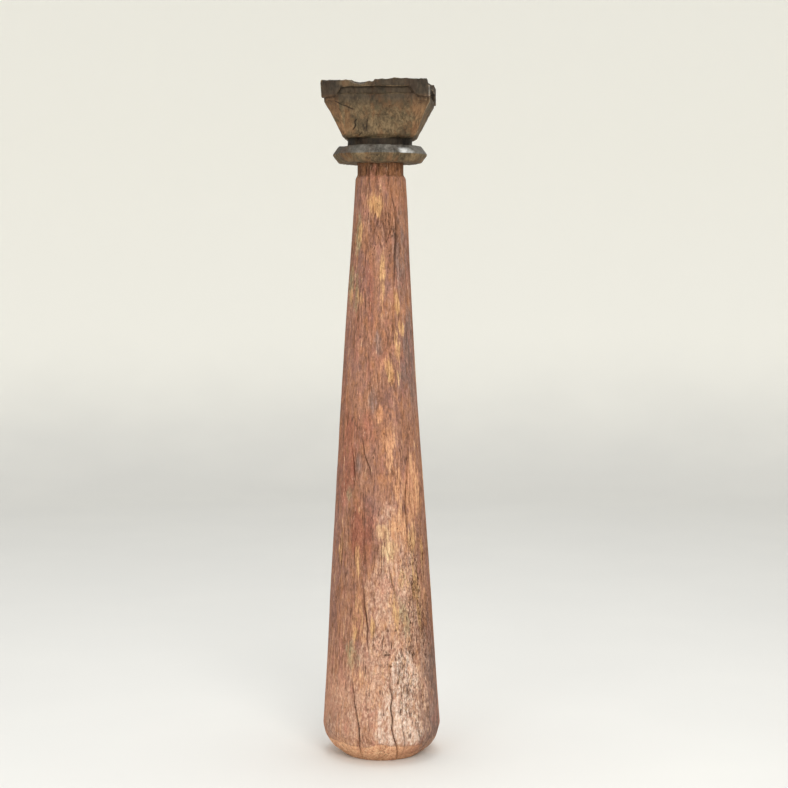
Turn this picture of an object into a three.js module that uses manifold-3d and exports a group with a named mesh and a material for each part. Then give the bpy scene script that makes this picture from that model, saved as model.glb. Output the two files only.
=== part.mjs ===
// A weathered wooden pillar in two pieces: a round shaft that tapers upward from a chamfered foot, and a
// capital, carved from one block with its round collar, that rests on the shaft's flat top.
// Millimetres, +Z up. The origin is the centre of the foot's underside and the front faces -Y.
// A bearing is an angle in degrees round the axis, from the front towards +X.
import * as THREE from "three";
import { mergeVertices } from "three/addons/utils/BufferGeometryUtils.js";
import Module from "manifold-3d";

const wasm = await Module();
wasm.setup();

// Whole pillar
const TOTAL_HEIGHT = 2105;
const CAPITAL_HEIGHT = 246;
const LEAN = 4;
const RESTING_GAP = 0.3;
const ROUND_SIDES = 72;

// Shaft, from the foot up
const FOOT_RADIUS = 120;
const FOOT_EDGE_RADIUS = 180;
const FOOT_EDGE_HEIGHT = 62;
const FOOT_ROUNDING = 10;
const FOOT_ROWS = 4;
const SWELL_RADIUS = 187;
const SWELL_HEIGHT = 93;
const SHOULDER_RADIUS = 79;
const NECK_RADIUS = 72.5;
const NECK_LENGTH = 37;
const SHOULDER_LENGTH = 10;
const TAPER_HOLLOW = 2.5;
const TAPER_ROWS = 14;
const BOW = 6;
const BOW_RISE = 1.5;

// Collar and necking, round
const COLLAR_RADIUS = 147;
const COLLAR_EDGE_RADIUS = 128;
const COLLAR_THICKNESS = 51;
const NECKING_RADIUS = 100;
const NECKING_LENGTH = 25;

// Bell, square with chamfered corners, and the slab above it; widths are half the side of the square
const BELL_BASE_HALF = 115;
const BELL_FACE_HALF = 161;
const BELL_LIP_INSET = 12;
const BELL_LIP_HEIGHT = 8;
const BELL_FACE_HEIGHT = 20;
const BELL_TWIST = 3.5;
const CHAMFER_BASE = 10;
const CHAMFER_TOP = 45;
const GROOVE_HALF = 151;
const GROOVE_HEIGHT = 21;
const SLAB_HALF = 165;
const SLAB_HEIGHT = 24;

// Ears at the four corners under the slab
const EAR_WIDTH = 62;
const EAR_HEIGHT = 55;
const EAR_ROUNDING = 42;
const EAR_ARC_STEPS = 8;

// Heights worked out from the sizes above
const SHAFT_TOP = TOTAL_HEIGHT - CAPITAL_HEIGHT;
const SHOULDER_HEIGHT = SHAFT_TOP - NECK_LENGTH - SHOULDER_LENGTH;
const CAPITAL_BASE = SHAFT_TOP + RESTING_GAP;
const COLLAR_TOP = SHAFT_TOP + COLLAR_THICKNESS;
const BELL_BASE = COLLAR_TOP + NECKING_LENGTH;
const SLAB_BASE = TOTAL_HEIGHT - SLAB_HEIGHT;
const GROOVE_BASE = SLAB_BASE - GROOVE_HEIGHT;
const BELL_SHOULDER = GROOVE_BASE - BELL_FACE_HEIGHT;
const EAR_BASE = TOTAL_HEIGHT - EAR_HEIGHT;

// Drying cracks: stops are [height, bearing], width and depth are the largest of each cut
const CRACKS = [
  { stops: [[1788, 29], [1709, 39], [1640, 40], [1547, 36], [1480, 33]], width: 6, depth: 13 },
  { stops: [[1640, -18], [1571, -23], [1488, -26]], width: 5, depth: 9 },
  { stops: [[1075, 53], [929, 46], [821, 40], [737, 40], [655, 40]], width: 7, depth: 16 },
  { stops: [[990, -38], [935, -33], [858, -30]], width: 6, depth: 12 },
  { stops: [[1016, -21], [951, -14], [916, -7], [868, -4]], width: 6, depth: 11 },
  { stops: [[620, 15], [560, 19], [505, 24]], width: 6, depth: 11 },
  { stops: [[576, -16], [477, -13], [408, -10], [330, -7]], width: 7, depth: 13 },
  { stops: [[292, -26], [204, -25], [116, -17], [76, -17], [16, -21]], width: 9, depth: 17 },
  { stops: [[308, 14], [179, 15], [118, 15], [76, 18], [14, 27]], width: 9, depth: 18 },
  { stops: [[142, 24], [100, 27], [52, 29]], width: 7, depth: 12 },
  { stops: [[136, 39], [104, 43], [70, 47]], width: 7, depth: 12 },
  { stops: [[160, -57], [130, -59], [100, -60]], width: 7, depth: 12 },
  { stops: [[1560, 112], [1390, 108], [1205, 113]], width: 7, depth: 13 },
  { stops: [[820, 96], [560, 101], [330, 97]], width: 8, depth: 15 },
  { stops: [[1330, 172], [1000, 178], [655, 174]], width: 9, depth: 18 },
  { stops: [[420, 204], [210, 200], [30, 206]], width: 9, depth: 17 },
  { stops: [[1700, 238], [1420, 244], [1180, 240]], width: 7, depth: 13 },
  { stops: [[700, 262], [480, 258], [260, 263]], width: 8, depth: 14 },
];
const CRACK_STEPS = 8;
const CRACK_PROUD = 4;

// Chips out of the slab's top edge: place is on the slab in plan, radii are across, deep and down
const EDGE_CHIPS = [
  { place: [-120, -SLAB_HALF], radii: [70, 60, 3] },
  { place: [-50, -SLAB_HALF], radii: [30, 100, 16] },
  { place: [-16, -SLAB_HALF], radii: [12, 70, 7] },
  { place: [SLAB_HALF, -70], radii: [14, 105, 26] },
  { place: [96, SLAB_HALF], radii: [34, 18, 9] },
  { place: [-SLAB_HALF, 40], radii: [14, 30, 8] },
];
const CORNER_CHIPS = [
  { corner: [1, -1], leg: 24 },
  { corner: [-1, -1], leg: 8 },
  { corner: [-1, 1], leg: 12 },
];
const CHIP_BLOCK = 60;
const CHIP_SIDES = 16;
const CHIP_RINGS = 10;

const MERGE_DISTANCE = 1e-3;
const SHAFT_FINISH = { color: "#a6745c", roughness: 0.8, metalness: 0 };
const CAPITAL_FINISH = { color: "#6b5640", roughness: 0.65, metalness: 0 };

// A closed three.js geometry as a solid that can be joined and cut
function solidFrom(geometry) {
  const bare = new THREE.BufferGeometry();
  bare.setAttribute("position", geometry.getAttribute("position"));
  bare.setIndex(geometry.getIndex());
  const merged = mergeVertices(bare, MERGE_DISTANCE);
  const corners = merged.getIndex().array;
  const triangles = [];
  for (let i = 0; i < corners.length; i += 3) {
    const [a, b, c] = corners.slice(i, i + 3);
    if (a !== b && b !== c && c !== a) {
      triangles.push(a, b, c);
    }
  }
  const vertProperties = new Float32Array(merged.getAttribute("position").array);
  const triVerts = new Uint32Array(triangles);
  return new wasm.Manifold(new wasm.Mesh({ numProp: 3, vertProperties, triVerts }));
}

// A solid back to a three.js geometry
function geometryFrom(solid) {
  const { vertProperties, triVerts } = solid.getMesh();
  const geometry = new THREE.BufferGeometry();
  geometry.setAttribute("position", new THREE.BufferAttribute(vertProperties, 3));
  geometry.setIndex(new THREE.BufferAttribute(triVerts, 1));
  geometry.computeVertexNormals();
  return geometry;
}

// A profile of [radius, height] pairs, bottom to top, turned about +Z with a number of flat sides
function turned(profile, sides, startBearing = 0) {
  const points = profile.map(([radius, height]) => new THREE.Vector2(radius, height));
  const geometry = new THREE.LatheGeometry(points, sides, THREE.MathUtils.degToRad(startBearing));
  return geometry.rotateX(Math.PI / 2);
}

// A moulded square block: the profile gives half the side of the square at each height
function squared(profile) {
  const onCorners = profile.map(([half, height]) => [half * Math.SQRT2, height]);
  return turned(onCorners, 4, 45);
}

// Radius of the shaft's taper: nearly straight, hollowed a little at mid height
function taperRadius(height) {
  const along = (height - SWELL_HEIGHT) / (SHOULDER_HEIGHT - SWELL_HEIGHT);
  const straight = THREE.MathUtils.lerp(SWELL_RADIUS, SHOULDER_RADIUS, along);
  return straight - TAPER_HOLLOW * Math.sin(Math.PI * along);
}

// Radius of the foot's chamfer, which is rounded outward
function footRadius(height) {
  const along = height / FOOT_EDGE_HEIGHT;
  const straight = THREE.MathUtils.lerp(FOOT_RADIUS, FOOT_EDGE_RADIUS, along);
  return straight + FOOT_ROUNDING * Math.sin(Math.PI * along);
}

// Radius of the shaft at any height, with the foot's chamfer and the swell above it
function shaftRadius(height) {
  if (height < FOOT_EDGE_HEIGHT) {
    return footRadius(height);
  }
  if (height < SWELL_HEIGHT) {
    return THREE.MathUtils.mapLinear(height, FOOT_EDGE_HEIGHT, SWELL_HEIGHT, FOOT_EDGE_RADIUS, SWELL_RADIUS);
  }
  return taperRadius(height);
}

// Sideways shift of the log, which leans towards -X and bows a little that way, most above its middle
function shiftAt(height) {
  const along = Math.max(0, height) / SHAFT_TOP;
  const bend = Math.sin(Math.PI * along ** BOW_RISE);
  return -LEAN * along - BOW * bend * bend;
}

// The uncracked log
function logGeometry() {
  const profile = [[0, 0]];
  for (let row = 0; row <= FOOT_ROWS; row += 1) {
    const height = (FOOT_EDGE_HEIGHT * row) / FOOT_ROWS;
    profile.push([footRadius(height), height]);
  }
  for (let row = 0; row <= TAPER_ROWS; row += 1) {
    const height = THREE.MathUtils.lerp(SWELL_HEIGHT, SHOULDER_HEIGHT, row / TAPER_ROWS);
    profile.push([taperRadius(height), height]);
  }
  profile.push([NECK_RADIUS, SHOULDER_HEIGHT + SHOULDER_LENGTH], [NECK_RADIUS, SHAFT_TOP], [0, SHAFT_TOP]);
  const log = turned(profile, ROUND_SIDES);
  const position = log.getAttribute("position");
  for (let i = 0; i < position.count; i += 1) {
    position.setX(i, position.getX(i) + shiftAt(position.getZ(i)));
  }
  return log;
}

// A V-shaped cutter that follows a crack's stops, widest in its middle and closing to a point at both ends
function crackCutter({ stops, width, depth }) {
  const path = new THREE.SplineCurve(stops.map(([height, bearing]) => new THREE.Vector2(height, bearing)));
  const vertices = [];
  for (let step = 0; step <= CRACK_STEPS; step += 1) {
    const along = step / CRACK_STEPS;
    const { x: height, y: bearing } = path.getPoint(along);
    const angle = THREE.MathUtils.degToRad(bearing);
    const outward = new THREE.Vector3(Math.sin(angle), -Math.cos(angle), 0);
    const across = new THREE.Vector3(Math.cos(angle), Math.sin(angle), 0);
    const axis = new THREE.Vector3(shiftAt(height), 0, height);
    const rim = axis.clone().addScaledVector(outward, shaftRadius(height) + CRACK_PROUD);
    if (step === 0 || step === CRACK_STEPS) {
      vertices.push(rim);
      continue;
    }
    const opening = Math.sqrt(Math.sin(Math.PI * along));
    const half = (width * opening * (1 + CRACK_PROUD / depth)) / 2;
    const root = rim.clone().addScaledVector(outward, -CRACK_PROUD - depth * opening);
    const left = rim.clone().addScaledVector(across, -half);
    const right = rim.clone().addScaledVector(across, half);
    vertices.push(left, root, right);
  }
  const last = vertices.length - 1;
  const triangles = [];
  for (let side = 0; side < 3; side += 1) {
    const next = (side + 1) % 3;
    triangles.push(0, 1 + next, 1 + side, last, last - 3 + side, last - 3 + next);
    for (let ring = 1; ring + 5 < last; ring += 3) {
      const [a, b, c, d] = [ring + side, ring + next, ring + 3 + next, ring + 3 + side];
      triangles.push(a, b, c, a, c, d);
    }
  }
  const geometry = new THREE.BufferGeometry().setFromPoints(vertices);
  geometry.setIndex(triangles);
  return geometry;
}

function shaftSolid() {
  const cuts = CRACKS.map((crack) => solidFrom(crackCutter(crack)));
  return cuts.reduce((log, cut) => log.subtract(cut), solidFrom(logGeometry()));
}

// The collar's double bevel and the narrow necking above it, run a little way up inside the bell
function collarSolid() {
  const insideBell = BELL_BASE + BELL_LIP_HEIGHT;
  const profile = [
    [0, CAPITAL_BASE],
    [COLLAR_EDGE_RADIUS, CAPITAL_BASE],
    [COLLAR_RADIUS, (SHAFT_TOP + COLLAR_TOP) / 2],
    [COLLAR_EDGE_RADIUS, COLLAR_TOP],
    [NECKING_RADIUS, COLLAR_TOP],
    [NECKING_RADIUS, insideBell],
    [0, insideBell],
  ];
  return solidFrom(turned(profile, ROUND_SIDES));
}

// Turns the sections of the bell out of true, most at its base and not at all at its shoulder
function twisted(geometry) {
  const position = geometry.getAttribute("position");
  const point = new THREE.Vector3();
  const up = new THREE.Vector3(0, 0, 1);
  for (let i = 0; i < position.count; i += 1) {
    point.fromBufferAttribute(position, i);
    const below = Math.max(0, (BELL_SHOULDER - point.z) / (BELL_SHOULDER - BELL_BASE));
    point.applyAxisAngle(up, THREE.MathUtils.degToRad(BELL_TWIST * below));
    position.setXYZ(i, point.x, point.y, point.z);
  }
  return geometry;
}

// The bell: a flared square block whose corners are cut by chamfers that widen upward
function bellSolid() {
  const block = squared([
    [0, BELL_BASE],
    [BELL_BASE_HALF - BELL_LIP_INSET, BELL_BASE],
    [BELL_BASE_HALF, BELL_BASE + BELL_LIP_HEIGHT],
    [BELL_FACE_HALF, BELL_SHOULDER],
    [BELL_FACE_HALF, GROOVE_BASE],
    [0, GROOVE_BASE],
  ]);
  const chamfers = turned([
    [0, BELL_BASE],
    [2 * BELL_BASE_HALF - CHAMFER_BASE, BELL_BASE],
    [2 * BELL_FACE_HALF - CHAMFER_TOP, BELL_SHOULDER],
    [2 * BELL_FACE_HALF - CHAMFER_TOP, GROOVE_BASE],
    [0, GROOVE_BASE],
  ], 4);
  return solidFrom(twisted(block)).intersect(solidFrom(twisted(chamfers)));
}

// The groove's core and the slab above it
function slabSolid() {
  return solidFrom(squared([
    [0, BELL_SHOULDER],
    [GROOVE_HALF, BELL_SHOULDER],
    [GROOVE_HALF, SLAB_BASE],
    [SLAB_HALF, SLAB_BASE],
    [SLAB_HALF, TOTAL_HEIGHT],
    [0, TOTAL_HEIGHT],
  ]));
}

// One ear: a block that fills the corner under the slab, its lower inner edges rounded on both faces
function earSolid() {
  const inner = SLAB_HALF - EAR_WIDTH;
  const insideSlab = SLAB_BASE + SLAB_HEIGHT / 2;
  const roundingHeight = EAR_BASE + EAR_ROUNDING;
  const outline = new THREE.Shape();
  outline.moveTo(inner, insideSlab);
  outline.lineTo(inner, roundingHeight);
  outline.absarc(inner + EAR_ROUNDING, roundingHeight, EAR_ROUNDING, Math.PI, 1.5 * Math.PI, false);
  outline.lineTo(SLAB_HALF, EAR_BASE);
  outline.lineTo(SLAB_HALF, insideSlab);
  const options = { depth: EAR_WIDTH, bevelEnabled: false, curveSegments: EAR_ARC_STEPS };
  const alongX = new THREE.ExtrudeGeometry(outline, options).rotateX(Math.PI / 2);
  const alongY = alongX.clone().rotateZ(Math.PI / 2).translate(inner, 0, 0);
  alongX.translate(0, SLAB_HALF, 0);
  return solidFrom(alongX).intersect(solidFrom(alongY));
}

// A shallow scoop where the slab's top edge has crumbled away
function edgeChip({ place, radii }) {
  const scoop = new THREE.SphereGeometry(1, CHIP_SIDES, CHIP_RINGS);
  scoop.scale(...radii).translate(...place, TOTAL_HEIGHT);
  return solidFrom(scoop);
}

// A flat break across one top corner of the slab, leg long on each edge
function cornerChip({ corner, leg }) {
  const outward = new THREE.Vector3(...corner, 1).normalize();
  const tip = new THREE.Vector3(corner[0] * SLAB_HALF, corner[1] * SLAB_HALF, TOTAL_HEIGHT);
  const block = new THREE.BoxGeometry(CHIP_BLOCK, CHIP_BLOCK, CHIP_BLOCK);
  block.applyQuaternion(new THREE.Quaternion().setFromUnitVectors(new THREE.Vector3(0, 0, 1), outward));
  const centre = tip.addScaledVector(outward, CHIP_BLOCK / 2 - leg / Math.sqrt(3));
  block.translate(centre.x, centre.y, centre.z);
  return solidFrom(block);
}

function capitalSolid() {
  let capital = collarSolid().add(bellSolid()).add(slabSolid());
  const ear = earSolid();
  for (let quarter = 0; quarter < 4; quarter += 1) {
    const turnedEar = geometryFrom(ear).rotateZ((quarter * Math.PI) / 2);
    capital = capital.add(solidFrom(turnedEar));
  }
  const chips = [...EDGE_CHIPS.map(edgeChip), ...CORNER_CHIPS.map(cornerChip)];
  return chips.reduce((block, chip) => block.subtract(chip), capital);
}

function woodMesh(name, solid, finish) {
  const mesh = new THREE.Mesh(geometryFrom(solid), new THREE.MeshStandardMaterial(finish));
  mesh.name = name;
  return mesh;
}

const pillar = new THREE.Group();
const shaft = woodMesh("shaft", shaftSolid(), SHAFT_FINISH);
const capital = woodMesh("capital", capitalSolid(), CAPITAL_FINISH);
capital.position.x = -LEAN;
pillar.add(shaft, capital);

export default pillar;
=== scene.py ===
"""Dresses a weathered wooden pillar: a cracked, streaked shaft under a dark carved capital.

Lengths are in metres. A place on the shaft is a height above the floor and a bearing in degrees
round the axis, from the front (-Y) towards the right (+X).
"""

import logging
import math
from collections.abc import Iterable, Mapping, Sequence
from dataclasses import dataclass, field
from enum import Enum
from itertools import product
from typing import ClassVar

import bpy
import numpy as np
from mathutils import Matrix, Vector


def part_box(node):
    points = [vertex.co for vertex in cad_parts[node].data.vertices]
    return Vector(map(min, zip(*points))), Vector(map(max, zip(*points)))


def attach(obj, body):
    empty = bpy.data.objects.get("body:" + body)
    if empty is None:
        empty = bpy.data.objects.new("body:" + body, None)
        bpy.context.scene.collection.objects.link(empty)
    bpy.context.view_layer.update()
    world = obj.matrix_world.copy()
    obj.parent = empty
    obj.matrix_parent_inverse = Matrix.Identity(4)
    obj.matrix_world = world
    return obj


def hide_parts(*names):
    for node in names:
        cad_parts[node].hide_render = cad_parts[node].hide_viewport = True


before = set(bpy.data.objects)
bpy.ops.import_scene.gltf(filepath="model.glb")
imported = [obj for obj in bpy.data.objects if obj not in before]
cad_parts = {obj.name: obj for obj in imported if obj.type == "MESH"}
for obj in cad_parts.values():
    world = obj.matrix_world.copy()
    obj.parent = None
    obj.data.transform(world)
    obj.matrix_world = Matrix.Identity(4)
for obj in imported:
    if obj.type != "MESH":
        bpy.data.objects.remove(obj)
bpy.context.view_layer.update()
LOG = logging.getLogger("pillar")

Colour = tuple[float, float, float, float]
Span = tuple[float, float]


def tone(red: int, green: int, blue: int) -> Colour:
    """Turn a display colour into the linear colour that shaders take.

    Args:
        red: Red from 0 to 255.
        green: Green from 0 to 255.
        blue: Blue from 0 to 255.

    Returns:
        The linear colour with full alpha.
    """
    shares = (channel / 255 for channel in (red, green, blue))
    linear = [c / 12.92 if c <= 0.04045 else ((c + 0.055) / 1.055) ** 2.4 for c in shares]
    return (linear[0], linear[1], linear[2], 1.0)


def rise(values: np.ndarray, low: float, high: float) -> np.ndarray:
    """Ease values from 0 at low to 1 at high.

    Args:
        values: The numbers to ease.
        low: Where the rise starts.
        high: Where it ends, which may be below low for a fall.

    Returns:
        Numbers from 0 to 1, of the same shape.
    """
    share = np.clip((values - low) / (high - low), 0, 1)
    return share * share * (3 - 2 * share)


@dataclass(frozen=True)
class Ripple:
    """One layer of noise: its strength, how far off it is read and its waves per metre."""

    strength: float
    offset: float
    per_metre: tuple[float, float, float]


class SmoothNoise:
    """Seeded noise that varies smoothly over space, roughly from -1 to 1."""

    CELLS = 64
    GAIN = 1.6

    def __init__(self, seed: int) -> None:
        """Fill the repeating lattice from the seed."""
        self.lattice = np.random.default_rng(seed).uniform(-1, 1, (self.CELLS,) * 3)

    def at(self, points: np.ndarray, per_metre: Sequence[float]) -> np.ndarray:
        """Read the noise at points.

        Args:
            points: Places, with x, y and z in the last axis.
            per_metre: Waves per metre along x, y and z.

        Returns:
            One number for each place.
        """
        scaled = points * np.asarray(per_metre)
        cell = np.floor(scaled).astype(int)
        part = scaled - cell
        blend = part * part * (3 - 2 * part)
        total = np.zeros(points.shape[:-1])
        for corner in product((0, 1), repeat=3):
            weight = np.prod(np.where(corner, blend, 1 - blend), axis=-1)
            index = (cell + corner) % self.CELLS
            total += weight * self.lattice[index[..., 0], index[..., 1], index[..., 2]]
        return total * self.GAIN

    def layered(self, points: np.ndarray, ripples: Iterable[Ripple]) -> np.ndarray:
        """Add up layers of noise.

        Args:
            points: Places, with x, y and z in the last axis.
            ripples: The layers.

        Returns:
            One number for each place.
        """
        return sum(r.strength * self.at(points + r.offset, r.per_metre) for r in ripples)


class Field:
    """One value or colour that runs over a surface, with arithmetic that adds Math nodes."""

    def __init__(self, graph: "Graph", socket: bpy.types.NodeSocket) -> None:
        """Keep the socket and the graph that it belongs to."""
        self.graph = graph
        self.socket = socket

    def _math(self, operation: str, left: "Field | float", right: "Field | float" = 0.0) -> "Field":
        """Add one Math node.

        Args:
            operation: The Math node's operation.
            left: Its first value.
            right: Its second value.

        Returns:
            The node's result.
        """
        return self.graph.add("ShaderNodeMath", {"operation": operation}, {0: left, 1: right})

    def __add__(self, other: "Field | float") -> "Field":
        """Sum of two values."""
        return self._math("ADD", self, other)

    def __sub__(self, other: "Field | float") -> "Field":
        """Difference of two values."""
        return self._math("SUBTRACT", self, other)

    def __rsub__(self, other: float) -> "Field":
        """Difference from a plain number."""
        return self._math("SUBTRACT", other, self)

    def __mul__(self, other: "Field | float") -> "Field":
        """Product of two values."""
        return self._math("MULTIPLY", self, other)

    __radd__ = __add__
    __rmul__ = __mul__

    def __abs__(self) -> "Field":
        """Size of the value without its sign."""
        return self._math("ABSOLUTE", self)

    def rise(self, low: float, high: float) -> "Field":
        """Ease the value from 0 at low to 1 at high.

        Args:
            low: Where the rise starts.
            high: Where it ends.

        Returns:
            A mask from 0 to 1.
        """
        limits = {"Value": self, "From Min": low, "From Max": high}
        return self.graph.add("ShaderNodeMapRange", {"interpolation_type": "SMOOTHSTEP"}, limits)


@dataclass(frozen=True)
class Wash:
    """One layer of colour under a mask, from its dark strands to its bright ones."""

    DARKEST: ClassVar[float] = 0.38
    BRIGHTEST: ClassVar[float] = 0.6
    mask: Enum
    dark: Colour
    light: Colour
    cover: float
    crumbly: bool = False
    low: float = 0.25
    high: float = 0.95
    tear: float = 1.0


class Graph:
    """The node tree of one material, on the object's own coordinates."""

    def __init__(self, name: str) -> None:
        """Start a material with an empty tree."""
        self.material = bpy.data.materials.new(name)
        self.material.use_nodes = True
        self.tree = self.material.node_tree
        self.tree.nodes.clear()
        self.place = self.add("ShaderNodeTexCoord", {}, {}, "Object")

    def node(
        self,
        kind: str,
        settings: Mapping[str, object],
        sockets: Mapping[str | int, "Field | float | Sequence[float]"],
    ) -> bpy.types.Node:
        """Add one node.

        Args:
            kind: The node's type.
            settings: Its properties, set first; "stops" holds a ramp's (place, colour) pairs.
            sockets: Values or links of its inputs, by name or number.

        Returns:
            The new node.
        """
        made = self.tree.nodes.new(kind)
        for name, value in settings.items():
            if name == "stops":
                self._fill_ramp(made.color_ramp, value)
            else:
                setattr(made, name, value)
        for key, value in sockets.items():
            if isinstance(value, Field):
                self.tree.links.new(value.socket, made.inputs[key])
            else:
                made.inputs[key].default_value = value
        return made

    def add(
        self,
        kind: str,
        settings: Mapping[str, object],
        sockets: Mapping[str | int, "Field | float | Sequence[float]"],
        output: str | int = 0,
    ) -> Field:
        """Add one node and take one of its outputs.

        Args:
            kind: The node's type.
            settings: Its properties.
            sockets: Values or links of its inputs.
            output: The output to hand back, by name or number.

        Returns:
            The chosen output.
        """
        return Field(self, self.node(kind, settings, sockets).outputs[output])

    @staticmethod
    def _fill_ramp(ramp: bpy.types.ColorRamp, stops: Sequence[tuple[float, Colour]]) -> None:
        """Put the stops on a colour ramp.

        Args:
            ramp: The ramp, which starts with two stops.
            stops: Places from 0 to 1 with their colours, two or more.
        """
        while len(ramp.elements) < len(stops):
            ramp.elements.new(1.0)
        for element, (place, colour) in zip(ramp.elements, stops):
            element.position = place
            element.color = colour

    def noise(self, per_metre: Sequence[float], detail: float = 3.0, rough: float = 0.55) -> Field:
        """Add noise that may be stretched along the axes.

        Args:
            per_metre: Waves per metre along x, y and z.
            detail: How many finer layers it has.
            rough: How strong the finer layers are.

        Returns:
            A value from 0 to 1 round 0.5.
        """
        scaled = self.add("ShaderNodeVectorMath", {"operation": "MULTIPLY"}, {0: self.place, 1: per_metre})
        sockets = {"Vector": scaled, "Scale": 1.0, "Detail": detail, "Roughness": rough}
        return self.add("ShaderNodeTexNoise", {}, sockets)

    def mask(self, mask: Enum) -> Field:
        """Read a painted mask of the mesh."""
        return self.add("ShaderNodeAttribute", {"attribute_name": mask.value}, {}, "Fac")

    def mix(
        self,
        share: "Field | float",
        under: "Field | Colour",
        over: "Field | Colour",
        blend: str = "MIX",
    ) -> Field:
        """Lay one colour over another.

        Args:
            share: How much of the upper colour shows, from 0 to 1.
            under: The lower colour.
            over: The upper colour.
            blend: How the two meet, as a Mix node names it.

        Returns:
            The mixed colour.
        """
        settings = {"data_type": "RGBA", "blend_type": blend}
        return self.add("ShaderNodeMix", settings, {0: share, 6: under, 7: over}, 2)

    def stack(self, under: Field, *layers: tuple["Field | float", "Field | Colour"]) -> Field:
        """Lay colours over one another.

        Args:
            under: The lowest colour.
            layers: Shares and colours, from the lowest to the highest.

        Returns:
            The mixed colour.
        """
        for share, over in layers:
            under = self.mix(share, under, over)
        return under

    def ramp(self, value: Field, stops: Sequence[tuple[float, Colour]]) -> Field:
        """Colour a value by a ramp of stops."""
        return self.add("ShaderNodeValToRGB", {"stops": stops}, {0: value})

    def wash(self, layer: Wash, under: Field, texture: Field, breakup: Field) -> Field:
        """Lay one wash over a colour.

        Args:
            layer: The wash.
            under: The colour below it.
            texture: The value that runs from its dark to its bright strands.
            breakup: The value that tears its edges, round 0.

        Returns:
            The colour with the wash on it.
        """
        share = (self.mask(layer.mask) + breakup * layer.tear).rise(layer.low, layer.high)
        shade = self.ramp(texture, ((layer.DARKEST, layer.dark), (layer.BRIGHTEST, layer.light)))
        return self.mix(share * layer.cover, under, shade)

    def finish(
        self, colour: Field, roughness: "Field | float", height: Field, relief: float, gloss: float
    ) -> None:
        """Close the material with one surface shader.

        Args:
            colour: The base colour.
            roughness: The roughness.
            height: The fine relief, in shares of its depth.
            relief: The depth of a height of 1.
            gloss: The strength of the mirror reflection.
        """
        sockets = {
            "Base Color": colour,
            "Roughness": roughness,
            "Normal": self.add("ShaderNodeBump", {}, {"Distance": relief, "Height": height}),
            "Specular IOR Level": gloss,
        }
        surface = self.add("ShaderNodeBsdfPrincipled", {}, sockets)
        self.node("ShaderNodeOutputMaterial", {}, {"Surface": surface})


class ShaftMark(Enum):
    """What the weather left on the shaft, and the painted light and shade on it, by the name of its mask.
    """

    OCHRE = "ochre"
    PEACH = "peach"
    CREAM = "cream"
    RED = "red"
    PALE = "pale"
    BLEACHED = "bleached"
    LICHEN = "lichen"
    GREY = "grey"
    PITTED = "pitted"
    # Painted highlight: a broad lightening of the lower front, weaker towards the right.
    PAINTED_HIGHLIGHT = "painted_highlight"
    # Painted shade in the thin neck under the collar and on the shaft's top under the capital.
    NECK_SHADE = "neck"
    # The bare foot's own colour, brightened as painted bounce light from the floor.
    FOOT_AND_BOUNCE_LIGHT = "foot"
    CRACK = "crack"
    PIT = "pit"


@dataclass(frozen=True)
class Patch:
    """One stained stretch of the shaft, from a top to a bottom along the grain."""

    stain: ShaftMark
    top: tuple[float, float]
    bottom: tuple[float, float]
    half_width: float
    strength: float = 1.0


@dataclass(frozen=True)
class Crack:
    """One drying crack of the shaft, through stops of height and bearing."""

    stops: tuple[tuple[float, float], ...]
    width: float
    depth: float


@dataclass(frozen=True)
class Pit:
    """One small hole in the shaft's surface."""

    place: tuple[float, float]
    half_length: float
    half_width: float
    depth: float


def patches(stain: ShaftMark, *rows: tuple) -> tuple[Patch, ...]:
    """Make the patches of one stain, each from its top, bottom, half width and strength."""
    return tuple(Patch(stain, *row) for row in rows)


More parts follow.
